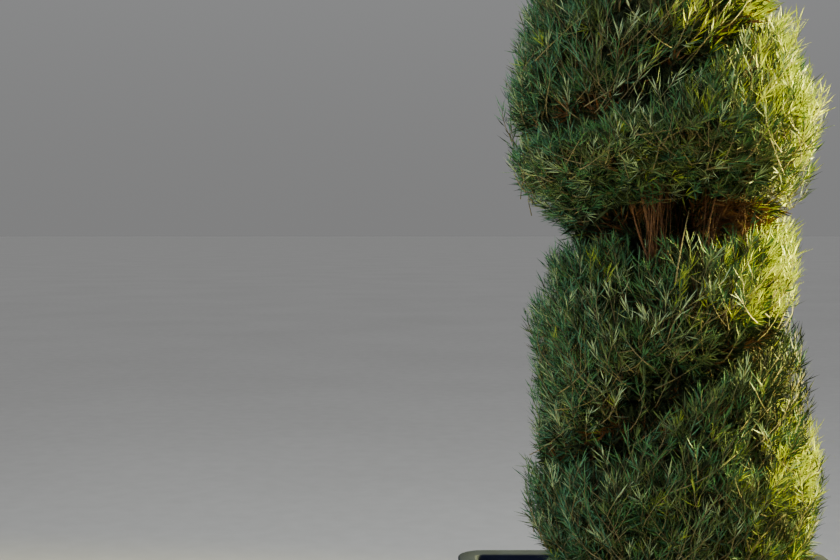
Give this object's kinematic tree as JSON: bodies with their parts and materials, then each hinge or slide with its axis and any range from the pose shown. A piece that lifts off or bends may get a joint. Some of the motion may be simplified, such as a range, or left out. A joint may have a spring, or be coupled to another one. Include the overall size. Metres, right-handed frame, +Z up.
{
  "type": "potted spiral topiary",
  "caption": "Narrow-leaved evergreen clipped to a rising spiral of foliage round one trunk, standing in a square dark planter with a stepped rim.",
  "frame": {"origin": "middle of the planter's flat underside, on the ground", "axes": "+Z up, -Y the side that the picture shows, +X to that side's right"},
  "size_m": [0.58, 0.58, 1.6171],
  "materials": {
    "planter": "matt dark blue-black moulded plastic",
    "compost": "dark crumbly bark compost",
    "bark": "thin flaking red-brown bark",
    "foliage": "narrow leaves, olive green to blue-green, paler at the tips"
  },
  "bodies": {
    "root": {"planter": "planter", "compost": "compost", "trunk": "bark", "bough_01": "bark", "bough_02": "bark", "bough_03": "bark", "bough_04": "bark", "bough_05": "bark", "bough_06": "bark", "bough_07": "bark", "bough_08": "bark", "bough_09": "bark", "bough_10": "bark", "bough_11": "bark", "bough_12": "bark", "foliage_01": "foliage", "foliage_02": "foliage", "foliage_03": "foliage", "foliage_04": "foliage", "foliage_05": "foliage", "foliage_06": "foliage", "foliage_07": "foliage", "foliage_08": "foliage", "foliage_09": "foliage", "foliage_10": "foliage", "foliage_11": "foliage", "foliage_12": "foliage", "foliage_13": "foliage", "foliage_14": "foliage", "foliage_15": "foliage", "foliage_16": "foliage", "foliage_17": "foliage", "foliage_18": "foliage", "foliage_tip": "foliage"}
  },
  "joints": []
}
